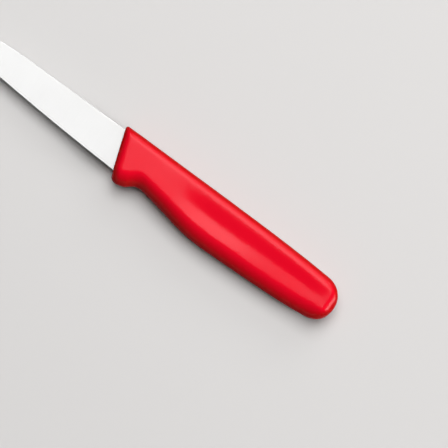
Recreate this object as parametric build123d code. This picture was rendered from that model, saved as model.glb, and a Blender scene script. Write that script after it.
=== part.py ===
from build123d import *
from math import copysign, cos, radians, sin, sqrt, tan
import os

# Paring knife lying on its side, in millimetres
# While it is drawn, X runs from the top corner of the handle's front face to the butt,
# Y is zero along the handle's spine and negative towards the belly, and Z = 0 is the plane of the blade

# Blade
blade_length = 90.0       # top corner of the handle's front face to the tip
blade_inset = 1.9         # the blade's spine lies this far below the handle's spine
heel_height = 15.8        # spine to cutting edge at the hidden heel
heel_cover = 5.0          # the heel runs on this far inside the handle
tip_drop = 8.4            # the tip lies this far below the blade's spine line
straight_spine = 47.0     # the spine is straight this far, then curves down to the tip
edge_bow = 1.1            # the cutting edge bulges this far below a straight line
blade_stock = 1.3         # thickness of the sheet that the blade is stamped from
ground_heel = 0.42        # thickness that the flat grind leaves at the heel's cutting edge
ground_tip = 0.50         # thickness that the flat grind leaves at the tip
bevel_height = 0.3        # height of the sharpened bevel
bevel_depth = 0.13        # how far each bevel cuts in from its ground face
spine_break = 0.12        # rounding of the two edges of the blade's spine

# Tang, the part of the blade that the handle is moulded over
tang_end = 62.0           # top corner of the front face to the end of the tang
tang_height = 9.0
tang_inset = 4.8          # the tang's upper edge lies this far below the handle's spine
tang_corner = 1.5         # rounding of the hidden corners of the heel and the tang
tang_holes = 3
tang_hole_diameter = 4.6

# Handle
handle_length = 107.2     # top corner of the front face to the butt
handle_height = 22.0      # spine to the lowest point of the belly
handle_thickness = 12.8
front_slant = 19.0        # degrees that the front face leans from square
front_round = 3.3         # rounding of the front face's long edges
front_corner = 1.3        # rounding of the top corner of the front face
guard_start = 18.8        # the finger guard's lobe begins this far below the spine
guard_reach = 4.5         # front face to the middle of the lobe in side view
guard_bulge = 3.65        # the lobe bulges this far along the front face's slant
notch_drop = 17.4         # depth of the belly at the finger notch behind the guard
belly_round = 6.4         # width of the rounding along the belly
spine_round = 3.3         # rounding of the two edges of the spine
spine_draft = 0.15        # how far the spine's wall leans in from the parting plane
butt_drop = 1.75          # the spine falls this far by the start of the round butt
butt_rise = 2.25          # and the belly rises this far from its lowest point
butt_round = 4.7          # rounding of the butt's end

# Thumb scoop, a long hollow in each side of the grip
scoop_depth = 0.78
land_width = 0.4          # flat strip between the spine's rounding and the scoop
scoop_start = 29.5        # the scoop begins this far behind the front face's top corner
scoop_full = 47.0         # and reaches its full depth here
scoop_level = 31.0        # this far before the butt, the side below the scoop is down at its floor
scoop_fade = 30.0         # the scoop starts to fade this far before the butt
scoop_stop = 4.6          # and is gone this far before the butt

# Angles in degrees of the ribs round the guard, from the end of the front face
guard_angles = [0, 12, 24, 37, 50, 63, 77, 92, 110, 130]
# Angles in degrees of the ribs round the butt, from its sides to its middle
butt_angles = [86, 78, 68, 58, 48, 38, 28, 19, 10, 4]
# Angles in degrees of the points on the roundings of a rib, at the belly and at the spine
belly_angles = [0, 12, 24, 36, 48, 60, 72, 82]
spine_angles = [90, 75, 60, 45, 30, 15, 0]

# Ribs of the grip: shares of its length, and of the belly's swell from finger notch to full height
grip_shares = [
    (0.019, 0.130),
    (0.040, 0.005),
    (0.069, 0.040),
    (0.124, 0.210),
    (0.192, 0.435),
    (0.261, 0.690),
    (0.328, 0.890),
    (0.407, 0.995),
    (0.534, 0.960),
    (0.670, 0.890),
    (0.770, 0.820),
    (0.860, 0.740),
    (0.920, 0.660),
    (0.965, 0.580),
]
lean_share = 0.40             # share of the spine's fall that comes steadily
swoop_share = 0.61            # share that comes in the swoop before the butt
swoop_power = 5               # how late the swoop comes
square_share = 0.5            # share of the grip's length by which its ribs stand square
# Shares at which a rib has points: on either side of the scoop's floor, and down the spine's wall
side_shares = [0, 0.2, 0.4, 0.6, 0.8]
wall_shares = [0.15, 0.35, 0.6, 0.8, 1]
floor_share = 0.55            # the scoop's floor lies this share of the way from its rim to the belly
fade_power = 4                # how late the scoop fades
full_power = 0.77             # under 1, a corner in side view is fuller than round
belly_power = 1.2             # over 1, the belly falls away steeply from its crest

slant = radians(front_slant)
half_thickness = handle_thickness / 2
half_stock = blade_stock / 2
butt_radius = (handle_height - butt_drop - butt_rise) / 2
heel_drop = blade_inset + heel_height
heel_x = heel_drop * tan(slant) + heel_cover


def between(first, last, share):
    """Value that lies a share of the way from the first to the last."""
    return first + (last - first) * share


def held(share):
    """Share held between 0 and 1."""
    return min(max(share, 0), 1)


def eased(share):
    """Share held between 0 and 1 that starts and ends gently."""
    inside = held(share)
    return inside * inside * (3 - 2 * inside)


def round_drop(radius, distance):
    """Height that a rounding takes away at a distance from the wall that it ends in."""
    inside = max(radius - distance, 0)
    return radius - sqrt(radius * radius - inside * inside)


def corner_shares(angle, power):
    """Shares of the way out and of the way on at an angle round a corner that is fuller by its power."""
    turn = radians(angle)
    return copysign(abs(cos(turn)) ** power, cos(turn)), sin(turn) ** power


def guard_ribs():
    """Ribs of the front, parallel to its face: spine point, belly point and half thickness."""
    along = Vector(sin(slant), -cos(slant))
    back = Vector(cos(slant), sin(slant))
    lobe_start = Vector(guard_start * tan(slant), -guard_start)
    ribs = []
    for angle in guard_angles:
        out, down = corner_shares(angle, full_power)
        behind = guard_reach * (1 - out)
        belly = lobe_start + back * behind + along * guard_bulge * down
        spine = Vector(behind / cos(slant), 0) + along * round_drop(front_corner, behind)
        ribs.append((spine, belly, half_thickness - round_drop(front_round, behind)))
    return ribs


def grip_ribs(guard_end, butt_start):
    """Ribs of the grip, which turn from the slant of the front face to square."""
    ribs = []
    for length_share, swell_share in grip_shares:
        x = between(guard_end, butt_start, length_share)
        fall = butt_drop * (lean_share * length_share + swoop_share * length_share**swoop_power)
        drop = between(notch_drop, handle_height, swell_share)
        lean = tan(slant) * (1 - eased(length_share / square_share))
        ribs.append((Vector(x - lean * (drop - fall), -fall), Vector(x, -drop), half_thickness))
    return ribs


def butt_ribs():
    """Ribs of the butt, square chords of its round side view."""
    centre = Vector(handle_length - butt_radius, -butt_drop - butt_radius)
    ribs = []
    for angle in butt_angles:
        turn = radians(angle)
        middle = centre + Vector(butt_radius * cos(turn), 0)
        spine = middle + Vector(0, butt_radius * sin(turn))
        belly = middle - Vector(0, butt_radius * sin(turn) ** full_power)
        before = butt_radius * (1 - cos(turn))
        ribs.append((spine, belly, half_thickness - round_drop(butt_round, before)))
    return ribs


def scoop_share(x):
    """Share of the scoop's full depth at a place along the handle."""
    begun = eased((x - scoop_start) / (scoop_full - scoop_start))
    faded = held((x - handle_length + scoop_fade) / (scoop_fade - scoop_stop))
    return begun * (1 - faded**fade_power)


def crest_share(x):
    """Share of the scoop's depth by which the belly's crest lies lower than the spine's side."""
    return held((x - scoop_start) / (handle_length - scoop_level - scoop_start))


def rib_points(spine, belly, half):
    """Points of a rib's upper half, from the belly over the side to the spine."""
    length = (belly - spine).length
    along = (belly - spine) / length
    size_share = min(length / (2 * butt_radius), 1)
    crest = length - belly_round * size_share
    edge = spine_round * size_share
    rim = edge + land_width * size_share
    floor = between(rim, crest, floor_share)
    draft = spine_draft * size_share
    rounding = spine_round * half / half_thickness
    # Each place has its height, and its shares of how low the crest and the scoop's floor lie
    places = []
    for angle in belly_angles:
        out, up = corner_shares(angle, belly_power)
        places.append((between(crest, length, out), half * up, up, 0))
    for share in side_shares:
        deep = eased(share)
        places.append((between(crest, floor, share), half, 1 - deep, deep))
    for share in [*side_shares, 1]:
        places.append((between(floor, rim, share), half, 0, eased(1 - share)))
    for angle in spine_angles:
        turn = radians(angle)
        places.append((between(edge, draft, cos(turn)), half - rounding * (1 - sin(turn)), 0, 0))
    for share in wall_shares:
        places.append((between(draft, 0, share), between(half - rounding, 0, share), 0, 0))
    points = []
    for place, height, low, deep in places:
        point = spine + along * place
        hollow = scoop_depth * scoop_share(point.X) * (low * crest_share(point.X) + deep)
        points.append(Vector(point.X, point.Y, height - hollow))
    return points


def running_lengths(points):
    """Length of the polyline through the points, up to each of them."""
    lengths = [0.0]
    for first, second in zip(points, points[1:]):
        lengths.append(lengths[-1] + (second - first).length)
    return lengths


def rib_wire(points, parameters):
    """Closed outline of a rib, its upper half and the same half turned down."""
    rise = (points[1] - points[0]).length / (parameters[1] - parameters[0])
    fall = (points[-1] - points[-2]).length / (parameters[-1] - parameters[-2])
    starts = [Vector(0, 0, rise), Vector(0, 0, -fall)]
    turned = [Vector(point.X, point.Y, -point.Z) for point in points]
    turned_starts = [-start for start in starts]
    upper = Edge.make_spline(points, tangents=starts, parameters=parameters, scale=False)
    lower = Edge.make_spline(turned, tangents=turned_starts, parameters=parameters, scale=False)
    return Wire([upper, lower])


def make_handle_body():
    """Outside of the handle, one smooth skin over all its ribs."""
    front = guard_ribs()
    butt = butt_ribs()
    grip = grip_ribs(front[-1][1].X, butt[0][1].X)
    outlines = [rib_points(*rib) for rib in front + grip + butt]
    parameters = running_lengths(outlines[len(outlines) // 2])
    return Solid.make_loft([rib_wire(points, parameters) for points in outlines])


def blade_outline():
    """Side view of the blade up to its hidden heel."""
    tip = Vector(-blade_length, -blade_inset - tip_drop)
    shoulder = Vector(-straight_spine, -blade_inset)
    pull = Vector(between(-straight_spine, -blade_length, 1 / 2), -blade_inset)
    heel = Vector(heel_x, -heel_drop)
    heel_top = Vector(heel_x, -blade_inset)
    belly = (tip + heel) / 2 - Vector(0, edge_bow)
    outline = Line(heel_top, shoulder) + Bezier(shoulder, pull, tip)
    outline += ThreePointArc(tip, belly, heel) + Line(heel, heel_top)
    face = make_face(outline)
    hidden_corner = face.vertices().group_by(Axis.X)[-1].sort_by(Axis.Y)[0]
    return fillet(hidden_corner, tang_corner)


def tang_outline():
    """Side view of the tang, with the holes that the handle's plastic fills."""
    start = heel_x - 2 * tang_corner
    middle = Pos((start + tang_end) / 2, -tang_inset - tang_height / 2)
    outline = middle * RectangleRounded(tang_end - start, tang_height, tang_corner)
    for hole in range(tang_holes):
        x = between(heel_x, tang_end, (hole + 1 / 2) / tang_holes)
        outline -= Pos(x, middle.position.Y) * Circle(tang_hole_diameter / 2)
    return outline


def ground_plane():
    """Plane of the flat grind on the upper side of the blade."""
    spine = Vector(0, -blade_inset, half_stock)
    heel = Vector(heel_x, -heel_drop, ground_heel / 2)
    tip = Vector(-blade_length, -blade_inset - tip_drop, ground_tip / 2)
    return Plane(origin=spine, x_dir=spine - tip, z_dir=(heel - spine).cross(spine - tip))


def sharpened(blade):
    """Blade with a bevel along both sides of its cutting edge."""
    curved = blade.faces().filter_by(GeomType.CYLINDER)
    edge_face = curved.sort_by(lambda face: face.bounding_box().size.X)[-1]
    rim = edge_face.edges().sort_by(Axis.Z)[-1]
    sides = blade.faces().filter_by(GeomType.PLANE)
    side = sides.filter_by(lambda face: any(edge.is_same(rim) for edge in face.edges()))[0]
    upper = chamfer(rim, bevel_height, bevel_depth, reference=side)
    return upper & mirror(upper, Plane.XY)


def spine_edges(blade):
    """The long edges of the blade's spine, straight and curved."""
    long_ones = blade.edges().filter_by(lambda edge: edge.bounding_box().size.X > straight_spine / 2)
    return long_ones.filter_by(lambda edge: edge.bounding_box().max.Y > -blade_inset - spine_break)


def make_blade():
    """Stamped blade and tang, ground flat and sharpened in front of the handle."""
    blank = extrude(Pos(0, 0, -half_stock) * (blade_outline() + tang_outline()), amount=blade_stock)
    reach = 2 * (blade_length + heel_x)
    above = (Align.CENTER, Align.CENTER, Align.MIN)
    ahead = (Align.MAX, Align.CENTER, Align.CENTER)
    grind = ground_plane() * Box(reach, reach, blade_stock, align=above)
    front_room = Rot(0, 0, front_slant) * Box(reach, reach, reach, align=ahead)
    exposed = sharpened((blank & front_room) - grind - mirror(grind, Plane.XY))
    return fillet(spine_edges(exposed), spine_break) + (blank - front_room)


def resting_place(*shapes):
    """Move that puts the middle of the knife over the origin and its lower side on Z = 0."""
    box = Compound(shapes).bounding_box()
    middle = box.center()
    return Pos(-middle.X, -middle.Y, -box.min.Z)


blade = make_blade()
handle = make_handle_body() - blade
place = resting_place(blade, handle)

os.makedirs("parts", exist_ok=True)
export_step(place * blade, "parts/blade.step")
export_step(place * handle, "parts/handle.step")
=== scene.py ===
from math import cos, radians, sin

import bmesh
import bpy
from bpy.props import FloatProperty, FloatVectorProperty, PointerProperty
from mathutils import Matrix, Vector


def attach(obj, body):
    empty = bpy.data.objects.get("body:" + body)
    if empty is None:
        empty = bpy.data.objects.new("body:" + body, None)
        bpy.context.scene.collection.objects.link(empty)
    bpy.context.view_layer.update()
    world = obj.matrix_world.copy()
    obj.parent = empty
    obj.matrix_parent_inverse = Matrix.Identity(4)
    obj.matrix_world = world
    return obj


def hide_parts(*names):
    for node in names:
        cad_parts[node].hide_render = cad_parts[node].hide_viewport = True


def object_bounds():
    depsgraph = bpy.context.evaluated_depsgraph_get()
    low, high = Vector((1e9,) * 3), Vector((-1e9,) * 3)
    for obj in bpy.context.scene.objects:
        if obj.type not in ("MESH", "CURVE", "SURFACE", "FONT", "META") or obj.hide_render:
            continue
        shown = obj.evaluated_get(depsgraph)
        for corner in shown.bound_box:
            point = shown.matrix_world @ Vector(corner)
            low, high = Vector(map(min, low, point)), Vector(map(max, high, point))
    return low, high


bl_info = {
    "name": "Paring knife",
    "version": (1, 0, 0),
    "blender": (4, 5, 0),
    "location": "View3D > Sidebar > Knife",
    "description": "Finishes the paring knife's blade and handle and lays it on a studio floor",
    "category": "Object",
}

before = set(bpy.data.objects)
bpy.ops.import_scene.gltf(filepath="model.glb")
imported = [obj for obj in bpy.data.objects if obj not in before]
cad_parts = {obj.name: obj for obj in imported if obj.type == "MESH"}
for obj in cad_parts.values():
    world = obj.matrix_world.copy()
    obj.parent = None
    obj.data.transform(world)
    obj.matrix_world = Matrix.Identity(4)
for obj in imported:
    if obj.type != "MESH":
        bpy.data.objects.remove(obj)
cad_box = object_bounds()

# Z of the plane that halves the knife, where the two halves of the handle's mould met
seam_height = (cad_box[0].z + cad_box[1].z) / 2

# Corners of triangles nearer than this are one point, in metres
corner_reach = 0.000001

# Edges that turn more than this stay sharp
blade_crease = radians(8)
handle_crease = radians(35)

# How level a face of the blade lies, 1 if fully, where the bevel or the cut spine starts and is full
bevel_levels = (0.990, 0.980)
cut_levels = (0.9, 0.7)

# Y at the spine and near the cutting edge, between which painted light makes the steel brighter
painted_light_stretch = (0.011, -0.005)

# Marks on the steel: how strongly each shows, and its brightness beside the plain steel
streak_share = 0.4
streak_brightness = 0.9
cut_share = 0.6
cut_brightness = 0.7

# Marks on the plastic, likewise
smudge_share = 0.25
smudge_brightness = 0.93
seam_share = 0.35
seam_brightness = 0.6

# Changes of roughness: under no smudge and a full one, on the cut spine and on the bevel
steel_spread = (-0.01, 0.02)
plastic_spread = (-0.02, 0.03)
cut_roughening = 0.15
bevel_smoothing = 0.08

# How strongly the fine reliefs show
line_strength = 0.25
grain_strength = 0.12
ridge_strength = 0.5

# Lean of the handle's surface, 0 if level, over which painted shade deepens its colour
painted_shade_leans = (0.05, 0.38)

# Glance along the handle's surface, 0 from straight in front, over which its shine drops
shine_glances = (0.26, 0.46)

# Share of its soft light that the plastic keeps back from what lies round it
bounce_loss = 0.25
black = (0.0, 0.0, 0.0, 1.0)

# Values of the broad noise that count as no smudge and as a full one
smudge_noise = (0.35, 0.70)

# Heights of the line of sight, from just under the horizon to level, over which reflections dim
horizon_band = (-0.04, 0.0)

# Sockets of a mix node that hold its two colours and their mixture
mix_first = 6
mix_second = 7
mix_result = 2


class BladeFinish(bpy.types.PropertyGroup):
    """Colours and marks of the ground steel"""

    colour: FloatVectorProperty(
        name="Steel colour",
        description="Colour that the steel reflects",
        subtype="COLOR",
        min=0,
        max=1,
        default=(0.49, 0.49, 0.488),
    )
    # Painted light: how much brighter the steel is painted near the cutting edge than at the spine
    edge_painted_light: FloatProperty(
        name="Edge brightness",
        description="Brightness of the steel near the cutting edge, beside that at the spine",
        subtype="FACTOR",
        min=0,
        max=2,
        default=1.08,
    )
    roughness: FloatProperty(
        name="Roughness",
        description="Roughness of the ground sides",
        subtype="FACTOR",
        min=0,
        max=1,
        default=0.42,
    )
    line_pitch: FloatProperty(
        name="Grinding line pitch",
        description="Distance between the fine lines that the grinding wheel leaves",
        subtype="DISTANCE",
        default=0.00022,
    )
    line_length: FloatProperty(
        name="Grinding line length",
        description="Length of those lines, from the spine towards the edge",
        subtype="DISTANCE",
        default=0.012,
    )
    line_depth: FloatProperty(
        name="Grinding line depth",
        description="Depth of those lines",
        subtype="DISTANCE",
        default=0.00001,
    )
    smudge_size: FloatProperty(
        name="Smudge size",
        description="Size of the faint marks of handling on the steel",
        subtype="DISTANCE",
        default=0.015,
    )


class HandleFinish(bpy.types.PropertyGroup):
    """Colours, painted shade and texture of the moulded plastic"""

    colour: FloatVectorProperty(
        name="Plastic colour",
        description="Colour of the plastic",
        subtype="COLOR",
        min=0,
        max=1,
        default=(0.77, 0.0008, 0.016),
    )
    # Painted shade: the colour that stands in for the shade on the handle's rounded sides
    painted_shade_colour: FloatVectorProperty(
        name="Deep colour",
        description="Colour of the plastic on the rounded sides of the handle",
        subtype="COLOR",
        min=0,
        max=1,
        default=(0.53, 0.0, 0.0005),
    )
    roughness: FloatProperty(
        name="Roughness",
        description="Roughness of the satin surface",
        subtype="FACTOR",
        min=0,
        max=1,
        default=0.22,
    )
    shine: FloatProperty(
        name="Shine",
        description="Shine of the plastic when it is looked at from straight in front",
        subtype="FACTOR",
        min=0,
        max=1,
        default=0.165,
    )
    low_shine: FloatProperty(
        name="Low shine",
        description="Shine of the plastic when the eye glances along it",
        subtype="FACTOR",
        min=0,
        max=1,
        default=0.02,
    )
    grain_size: FloatProperty(
        name="Grain size",
        description="Size of the fine grain that the mould leaves",
        subtype="DISTANCE",
        default=0.0004,
    )
    grain_depth: FloatProperty(
        name="Grain depth",
        description="Depth of that grain",
        subtype="DISTANCE",
        default=0.00004,
    )
    smudge_size: FloatProperty(
        name="Smudge size",
        description="Size of the faint marks of handling on the plastic",
        subtype="DISTANCE",
        default=0.02,
    )
    seam_width: FloatProperty(
        name="Seam width",
        description="Width of the line where the halves of the mould met",
        subtype="DISTANCE",
        default=0.00016,
    )
    seam_ridge: FloatProperty(
        name="Seam ridge",
        description="Height of that line",
        subtype="DISTANCE",
        default=0.00006,
    )


class StudioSetup(bpy.types.PropertyGroup):
    """Floor, light and camera"""

    floor_colour: FloatVectorProperty(
        name="Floor colour",
        description="Colour of the floor",
        subtype="COLOR",
        min=0,
        max=1,
        default=(0.635, 0.622, 0.614),
    )
    floor_bounce: FloatProperty(
        name="Floor bounce",
        description="Share of its brightness with which the floor lights what stands on it",
        subtype="FACTOR",
        min=0,
        max=1,
        default=0.4,
    )
    floor_roughness: FloatProperty(
        name="Floor roughness",
        description="Roughness of the floor",
        subtype="FACTOR",
        min=0,
        max=1,
        default=0.9,
    )
    floor_shine: FloatProperty(
        name="Floor shine",
        description="Shine of the floor",
        subtype="FACTOR",
        min=0,
        max=1,
        default=0.1,
    )
    floor_size: FloatProperty(
        name="Floor size",
        description="Side of the square floor",
        subtype="DISTANCE",
        default=40.0,
    )
    floor_gap: FloatProperty(
        name="Floor gap",
        description="Distance of the floor below the knife, which keeps their surfaces apart",
        subtype="DISTANCE",
        default=0.00002,
    )
    key_tilt: FloatProperty(
        name="Key light tilt",
        description="Angle of the key light's middle from straight above, towards the spine",
        subtype="ANGLE",
        default=radians(22),
    )
    key_shift: FloatProperty(
        name="Key light shift",
        description="How far the key light stands from the middle of the picture, towards the tip",
        subtype="DISTANCE",
        default=0.35,
    )
    key_size: FloatVectorProperty(
        name="Key light size",
        description="Length of the key light along the knife, and its width",
        subtype="XYZ",
        size=2,
        default=(1.4, 1.6),
    )
    key_power: FloatProperty(
        name="Key light power",
        description="Power of the key light in watts",
        default=42.0,
    )
    side_tilt: FloatProperty(
        name="Side light tilt",
        description="Angle of the low side light from straight above, towards the butt",
        subtype="ANGLE",
        default=radians(66),
    )
    side_turn: FloatProperty(
        name="Side light turn",
        description="How far the side light stands from the line of the knife, towards the spine",
        subtype="ANGLE",
        default=radians(8),
    )
    side_size: FloatVectorProperty(
        name="Side light size",
        description="Length of the side light across the knife, and its height",
        subtype="XYZ",
        size=2,
        default=(0.9, 0.8),
    )
    side_power: FloatProperty(
        name="Side light power",
        description="Power of the side light in watts",
        default=24.0,
    )
    rim_tilt: FloatProperty(
        name="Rim light tilt",
        description="Angle of the low light behind the spine from straight above",
        subtype="ANGLE",
        default=radians(62),
    )
    rim_size: FloatVectorProperty(
        name="Rim light size",
        description="Length of the rim light along the knife, and its height",
        subtype="XYZ",
        size=2,
        default=(1.4, 0.8),
    )
    rim_power: FloatProperty(
        name="Rim light power",
        description="Power of the rim light in watts",
        default=9.0,
    )
    lamp_distance: FloatProperty(
        name="Lamp distance",
        description="Distance of the lights from the knife",
        subtype="DISTANCE",
        default=2.0,
    )
    fill_strength: FloatProperty(
        name="Fill strength",
        description="Brightness of the dim room around",
        default=0.012,
    )
    room_colour: FloatVectorProperty(
        name="Room colour",
        description="Colour that shows behind the floor",
        subtype="COLOR",
        min=0,
        max=1,
        default=(0.70, 0.695, 0.685),
    )
    room_mirror: FloatProperty(
        name="Room in reflections",
        description="Share of the room's colour that shows in reflections from above the horizon",
        subtype="FACTOR",
        min=0,
        max=1,
        default=0.3,
    )
    camera_distance: FloatProperty(
        name="Camera distance",
        description="Height of the camera above the middle plane of the knife",
        subtype="DISTANCE",
        default=1.0,
    )
    camera_field: FloatProperty(
        name="Camera field",
        description="Width that the picture covers at the middle plane of the knife",
        subtype="DISTANCE",
        default=0.1746,
    )
    camera_turn: FloatProperty(
        name="Camera turn",
        description="Turn of the picture round the line of sight",
        subtype="ANGLE",
        default=radians(36),
    )
    camera_middle: FloatVectorProperty(
        name="Camera middle",
        description="Place on the knife's plane that the camera looks at",
        subtype="XYZ",
        size=2,
        default=(0.04466, 0.0020),
    )


def shader_node(tree, kind, inputs=None, **settings):
    """New node in the tree, with its settings and with values or links on its inputs."""
    node = tree.nodes.new(kind)
    for name, value in settings.items():
        setattr(node, name, value)
    for key, value in (inputs or {}).items():
        if isinstance(value, bpy.types.NodeSocket):
            tree.links.new(value, node.inputs[key])
        else:
            node.inputs[key].default_value = value
    return node


def maths(tree, operation, first, second=0.0):
    """Output of a maths node."""
    node = shader_node(tree, "ShaderNodeMath", {0: first, 1: second}, operation=operation)
    return node.outputs[0]


def remapped(tree, value, old, new=(0.0, 1.0)):
    """Value carried from the old range to the new one and held inside it."""
    inputs = {
        "Value": value,
        "From Min": old[0],
        "From Max": old[1],
        "To Min": new[0],
        "To Max": new[1],
    }
    return shader_node(tree, "ShaderNodeMapRange", inputs).outputs["Result"]


def opaque(colour, brightness=1.0):
    """Colour with full alpha, made brighter or darker."""
    return tuple(part * brightness for part in colour[:3]) + (1.0,)


def mixed_colour(tree, share, first, second):
    """Colour between two colours."""
    inputs = {"Factor": share, mix_first: first, mix_second: second}
    return shader_node(tree, "ShaderNodeMix", inputs, data_type="RGBA").outputs[mix_result]


def marked_colour(tree, mask, share, colour, mark):
    """Colour with a mark's colour over it, as strong as the share where the mask is full."""
    return mixed_colour(tree, maths(tree, "MULTIPLY", mask, share), colour, mark)


def uneven_roughness(tree, smudges, roughness, spread):
    """Roughness that goes from the low to the high end of its spread with the smudges."""
    return remapped(tree, smudges, (0.0, 1.0), (roughness + spread[0], roughness + spread[1]))


def relief(tree, strength, depth, height, under=None):
    """Normal of a surface with a fine relief on it, over another relief if there is one."""
    inputs = {"Strength": strength, "Distance": depth, "Height": height}
    if under is not None:
        inputs["Normal"] = under
    return shader_node(tree, "ShaderNodeBump", inputs).outputs["Normal"]


def levelness(tree, place):
    """How level the surface lies: 1 where it faces straight up or down, 0 where it stands upright."""
    facing = shader_node(tree, "ShaderNodeSeparateXYZ", {0: place.outputs["Normal"]})
    return maths(tree, "ABSOLUTE", facing.outputs["Z"])


def diffuse_light(tree):
    """1 for the soft light that the surface passes on to what lies round it, 0 for all other light."""
    return shader_node(tree, "ShaderNodeLightPath").outputs["Is Diffuse Ray"]


def fresh_material(name):
    """Empty node material with a Principled shader, its tree and that shader."""
    material = bpy.data.materials.new(name)
    material.use_nodes = True
    tree = material.node_tree
    tree.nodes.clear()
    surface = tree.nodes.new("ShaderNodeBsdfPrincipled")
    output = tree.nodes.new("ShaderNodeOutputMaterial")
    tree.links.new(surface.outputs["BSDF"], output.inputs["Surface"])
    return material, tree, surface


def marks_group():
    """Shader group of streaks or grain: a fine height and a soft mask of handling marks."""
    name = "Surface marks"
    if name in bpy.data.node_groups:
        return bpy.data.node_groups[name]
    group = bpy.data.node_groups.new(name, "ShaderNodeTree")
    sockets = group.interface
    sockets.new_socket("Coordinates", in_out="INPUT", socket_type="NodeSocketVector")
    sockets.new_socket("Mark Size", in_out="INPUT", socket_type="NodeSocketVector")
    sockets.new_socket("Smudge Size", in_out="INPUT", socket_type="NodeSocketFloat")
    sockets.new_socket("Height", in_out="OUTPUT", socket_type="NodeSocketFloat")
    sockets.new_socket("Smudges", in_out="OUTPUT", socket_type="NodeSocketFloat")
    start = group.nodes.new("NodeGroupInput").outputs
    end = group.nodes.new("NodeGroupOutput").inputs
    stretched = shader_node(
        group,
        "ShaderNodeVectorMath",
        {0: start["Coordinates"], 1: start["Mark Size"]},
        operation="DIVIDE",
    )
    fine = shader_node(
        group,
        "ShaderNodeTexNoise",
        {"Vector": stretched.outputs[0], "Scale": 1.0, "Detail": 3.0, "Roughness": 0.6},
    )
    shrunk = maths(group, "DIVIDE", 1.0, start["Smudge Size"])
    broad = shader_node(
        group,
        "ShaderNodeTexNoise",
        {"Vector": start["Coordinates"], "Scale": shrunk, "Detail": 4.0, "Distortion": 0.6},
    )
    group.links.new(fine.outputs["Fac"], end["Height"])
    group.links.new(remapped(group, broad.outputs["Fac"], smudge_noise), end["Smudges"])
    return group


def place_marks(tree, place, mark_size, smudge_size):
    """Height and smudges of the marks group in a material, with that material's own sizes."""
    inputs = {
        "Coordinates": place.outputs["Object"],
        "Mark Size": mark_size,
        "Smudge Size": smudge_size,
    }
    node = shader_node(tree, "ShaderNodeGroup", inputs, node_tree=marks_group())
    return node.outputs["Height"], node.outputs["Smudges"]


def seam_mask(tree, place, width):
    """1 on the line where the halves of the mould met, 0 beside it."""
    parts = shader_node(tree, "ShaderNodeSeparateXYZ", {0: place.outputs["Object"]})
    offset = maths(tree, "ABSOLUTE", maths(tree, "SUBTRACT", parts.outputs["Z"], seam_height))
    return remapped(tree, offset, (width / 4, width / 2), (1.0, 0.0))


def plastic_colour(tree, place, smudges, seam, finish):
    """Red, duller in smudges and on the seam, darkened by painted shade on the handle's rounded sides, and
    less bright in the light that it passes on.
    """
    plain = opaque(finish.colour)
    dulled = opaque(finish.colour, smudge_brightness)
    seamed = opaque(finish.colour, seam_brightness)
    colour = marked_colour(tree, smudges, smudge_share, plain, dulled)
    colour = marked_colour(tree, seam, seam_share, colour, seamed)
    # Painted shade: the colour deepens as the surface leans away from level, on the rounded sides
    lean = maths(tree, "SUBTRACT", 1.0, levelness(tree, place))
    depth = remapped(tree, lean, painted_shade_leans)
    colour = mixed_colour(tree, depth, colour, opaque(finish.painted_shade_colour))
    return marked_colour(tree, diffuse_light(tree), bounce_loss, colour, black)


def moulded_plastic(finish):
    """Red plastic with a fine mould grain and the faint line of the mould's seam."""
    material, tree, surface = fresh_material("Moulded plastic")
    place = shader_node(tree, "ShaderNodeTexCoord")
    grain = (finish.grain_size, finish.grain_size, finish.grain_size)
    height, smudges = place_marks(tree, place, grain, finish.smudge_size)
    seam = seam_mask(tree, place, finish.seam_width)
    colour = plastic_colour(tree, place, smudges, seam, finish)
    roughness = uneven_roughness(tree, smudges, finish.roughness, plastic_spread)
    glance = shader_node(tree, "ShaderNodeLayerWeight", {"Blend": 0.5}).outputs["Facing"]
    shine = remapped(tree, glance, shine_glances, (finish.shine, finish.low_shine))
    grained = relief(tree, grain_strength, finish.grain_depth, height)
    ridged = relief(tree, ridge_strength, finish.seam_ridge, seam, grained)
    tree.links.new(colour, surface.inputs["Base Color"])
    tree.links.new(roughness, surface.inputs["Roughness"])
    tree.links.new(shine, surface.inputs["Specular IOR Level"])
    tree.links.new(ridged, surface.inputs["Normal"])
    return material


def steel_colour(tree, place, streaks, cut, finish):
    """Grey with painted light that brightens it towards the cutting edge, with fine streaks, and darker on
    the cut spine.
    """
    parts = shader_node(tree, "ShaderNodeSeparateXYZ", {0: place.outputs["Object"]})
    # Painted light: the steel brightens from the spine towards the cutting edge
    towards_edge = remapped(tree, parts.outputs["Y"], painted_light_stretch)
    painted_bright = opaque(finish.colour, finish.edge_painted_light)
    streaked = opaque(finish.colour, streak_brightness)
    darkened = opaque(finish.colour, cut_brightness)
    colour = mixed_colour(tree, towards_edge, opaque(finish.colour), painted_bright)
    colour = marked_colour(tree, streaks, streak_share, colour, streaked)
    return marked_colour(tree, cut, cut_share, colour, darkened)


def ground_steel(finish):
    """Satin steel with grinding lines from spine to edge, a smoother bevel and a rougher cut spine."""
    material, tree, surface = fresh_material("Ground steel")
    place = shader_node(tree, "ShaderNodeTexCoord")
    line = (finish.line_pitch, finish.line_length, finish.line_length)
    height, smudges = place_marks(tree, place, line, finish.smudge_size)
    level = levelness(tree, place)
    bevel = remapped(tree, level, bevel_levels)
    cut = remapped(tree, level, cut_levels)
    colour = steel_colour(tree, place, height, cut, finish)
    roughness = uneven_roughness(tree, smudges, finish.roughness, steel_spread)
    roughness = maths(tree, "ADD", roughness, maths(tree, "MULTIPLY", cut, cut_roughening))
    roughness = maths(tree, "SUBTRACT", roughness, maths(tree, "MULTIPLY", bevel, bevel_smoothing))
    lined = relief(tree, line_strength, finish.line_depth, height)
    tree.links.new(colour, surface.inputs["Base Color"])
    tree.links.new(roughness, surface.inputs["Roughness"])
    tree.links.new(lined, surface.inputs["Normal"])
    surface.inputs["Metallic"].default_value = 1.0
    return material


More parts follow.
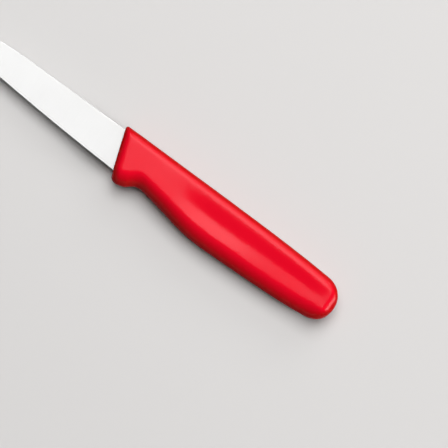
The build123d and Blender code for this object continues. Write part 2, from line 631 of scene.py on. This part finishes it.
def merged_copy(node, name, crease):
    """New piece with the shape of a solid, its triangles joined and its creases kept sharp."""
    mesh = bpy.data.meshes.new(name)
    shape = bmesh.new()
    shape.from_mesh(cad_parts[node].data)
    bmesh.ops.remove_doubles(shape, verts=shape.verts, dist=corner_reach)
    bmesh.ops.dissolve_degenerate(shape, edges=shape.edges, dist=corner_reach)
    bmesh.ops.recalc_face_normals(shape, faces=shape.faces)
    for face in shape.faces:
        face.smooth = True
    for edge in shape.edges:
        edge.smooth = edge.is_manifold and edge.calc_face_angle() < crease
    shape.to_mesh(mesh)
    shape.free()
    piece = bpy.data.objects.new(name, mesh)
    bpy.context.scene.collection.objects.link(piece)
    even = piece.modifiers.new("Even shading", "WEIGHTED_NORMAL")
    even.mode = "FACE_AREA"
    even.keep_sharp = True
    return piece


def finish_piece(piece, node, material):
    """Puts a piece in the place of its solid, with its material."""
    piece.data.materials.append(material)
    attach(piece, "root")
    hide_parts(node)


class KNIFE_OT_blade(bpy.types.Operator):
    """Makes the ground steel blade from its solid"""

    bl_idname = "knife.blade"
    bl_label = "Blade"
    bl_options = {"REGISTER", "UNDO"}

    def execute(self, context):
        piece = merged_copy("blade", "ground_blade", blade_crease)
        finish_piece(piece, "blade", ground_steel(context.scene.knife_blade))
        return {"FINISHED"}


class KNIFE_OT_handle(bpy.types.Operator):
    """Makes the moulded plastic handle from its solid"""

    bl_idname = "knife.handle"
    bl_label = "Handle"
    bl_options = {"REGISTER", "UNDO"}

    def execute(self, context):
        piece = merged_copy("handle", "moulded_handle", handle_crease)
        finish_piece(piece, "handle", moulded_plastic(context.scene.knife_handle))
        return {"FINISHED"}


def pale_floor(setup):
    """Dull pale material, less bright in the light that it passes on to what stands on it."""
    material, tree, surface = fresh_material("Pale floor")
    plain = opaque(setup.floor_colour)
    dimmed = opaque(setup.floor_colour, setup.floor_bounce)
    colour = mixed_colour(tree, diffuse_light(tree), plain, dimmed)
    tree.links.new(colour, surface.inputs["Base Color"])
    surface.inputs["Roughness"].default_value = setup.floor_roughness
    surface.inputs["Specular IOR Level"].default_value = setup.floor_shine
    return material


def make_floor(setup):
    """Plain pale floor just below the knife."""
    mesh = bpy.data.meshes.new("studio_floor")
    shape = bmesh.new()
    bmesh.ops.create_grid(shape, x_segments=1, y_segments=1, size=setup.floor_size / 2)
    bmesh.ops.translate(shape, verts=shape.verts, vec=(0, 0, cad_box[0].z - setup.floor_gap))
    shape.to_mesh(mesh)
    shape.free()
    mesh.materials.append(pale_floor(setup))
    floor = bpy.data.objects.new("studio_floor", mesh)
    bpy.context.scene.collection.objects.link(floor)
    return floor


def make_softbox(name, distance, tilt, turn, size, power):
    """Flat light that faces the knife, tilted from straight above and turned from the knife's line."""
    data = bpy.data.lights.new(name, "AREA")
    data.shape = "RECTANGLE"
    data.size, data.size_y = size
    data.energy = power
    light = bpy.data.objects.new(name, data)
    bpy.context.scene.collection.objects.link(light)
    reach = distance * sin(tilt)
    light.location = (reach * cos(turn), reach * sin(turn), distance * cos(tilt))
    light.rotation_euler = (tilt, 0, turn + radians(90))
    return light


def make_lights(setup):
    """Broad key light above the spine, a low light past the butt and a low one behind the spine."""
    spine_way = radians(90)
    places = {
        "key_light": (setup.key_tilt, spine_way, setup.key_size, setup.key_power),
        "side_light": (setup.side_tilt, setup.side_turn, setup.side_size, setup.side_power),
        "rim_light": (setup.rim_tilt, spine_way, setup.rim_size, setup.rim_power),
    }
    lights = {name: make_softbox(name, setup.lamp_distance, *place) for name, place in places.items()}
    lights["key_light"].location.x += setup.camera_middle[0] - setup.key_shift
    return lights.values()


def make_room(setup):
    """Dim room, with a pale colour that the camera and reflections see behind the floor."""
    world = bpy.data.worlds.new("studio_room")
    bpy.context.scene.world = world
    world.use_nodes = True
    tree = world.node_tree
    tree.nodes.clear()
    ray = shader_node(tree, "ShaderNodeLightPath")
    place = shader_node(tree, "ShaderNodeTexCoord")
    sight = shader_node(tree, "ShaderNodeSeparateXYZ", {0: place.outputs["Generated"]})
    horizon = remapped(tree, sight.outputs["Z"], horizon_band, (1.0, 0.0))
    horizon = maths(tree, "MAXIMUM", horizon, setup.room_mirror)
    mirror = maths(tree, "MAXIMUM", ray.outputs["Is Glossy Ray"], ray.outputs["Is Transmission Ray"])
    mirrored = maths(tree, "MULTIPLY", mirror, horizon)
    shown = maths(tree, "MAXIMUM", ray.outputs["Is Camera Ray"], mirrored)
    dim = opaque((1.0, 1.0, 1.0), setup.fill_strength)
    colour = mixed_colour(tree, shown, dim, opaque(setup.room_colour))
    background = shader_node(tree, "ShaderNodeBackground", {"Color": colour, "Strength": 1.0})
    output = shader_node(tree, "ShaderNodeOutputWorld")
    tree.links.new(background.outputs[0], output.inputs["Surface"])


def make_camera(setup):
    """Camera straight above the knife."""
    data = bpy.data.cameras.new("camera")
    data.lens = data.sensor_width * setup.camera_distance / setup.camera_field
    data.clip_end = setup.floor_size
    camera = bpy.data.objects.new("camera", data)
    bpy.context.scene.collection.objects.link(camera)
    camera.location = (*setup.camera_middle, seam_height + setup.camera_distance)
    camera.rotation_euler = (0, 0, setup.camera_turn)
    bpy.context.scene.camera = camera


class KNIFE_OT_stage(bpy.types.Operator):
    """Makes the floor, the light, the room and the camera"""

    bl_idname = "knife.stage"
    bl_label = "Stage"
    bl_options = {"REGISTER", "UNDO"}

    def execute(self, context):
        setup = context.scene.knife_studio
        floor = make_floor(setup)
        lights = make_lights(setup)
        make_room(setup)
        make_camera(setup)
        context.scene.view_settings.view_transform = "Standard"
        return {"FINISHED"}


class KNIFE_PT_panel(bpy.types.Panel):
    """Lists the settings and the steps that make the knife"""

    bl_idname = "KNIFE_PT_panel"
    bl_label = "Paring knife"
    bl_space_type = "VIEW_3D"
    bl_region_type = "UI"
    bl_category = "Knife"

    def draw(self, context):
        scene = context.scene
        for group in (scene.knife_blade, scene.knife_handle, scene.knife_studio):
            for name in group.__annotations__:
                self.layout.prop(group, name)
        for operator in (KNIFE_OT_blade, KNIFE_OT_handle, KNIFE_OT_stage):
            self.layout.operator(operator.bl_idname)


classes = (
    BladeFinish,
    HandleFinish,
    StudioSetup,
    KNIFE_OT_blade,
    KNIFE_OT_handle,
    KNIFE_OT_stage,
    KNIFE_PT_panel,
)


def register():
    """Makes the classes known and gives the scene their settings."""
    for item in classes:
        bpy.utils.register_class(item)
    bpy.types.Scene.knife_blade = PointerProperty(type=BladeFinish)
    bpy.types.Scene.knife_handle = PointerProperty(type=HandleFinish)
    bpy.types.Scene.knife_studio = PointerProperty(type=StudioSetup)


def unregister():
    """Takes the settings and the classes away again."""
    del bpy.types.Scene.knife_blade
    del bpy.types.Scene.knife_handle
    del bpy.types.Scene.knife_studio
    for item in reversed(classes):
        bpy.utils.unregister_class(item)


def main():
    """Makes the knife and its stage."""
    register()
    bpy.ops.knife.blade()
    bpy.ops.knife.handle()
    bpy.ops.knife.stage()


if __name__ == "__main__":
    main()
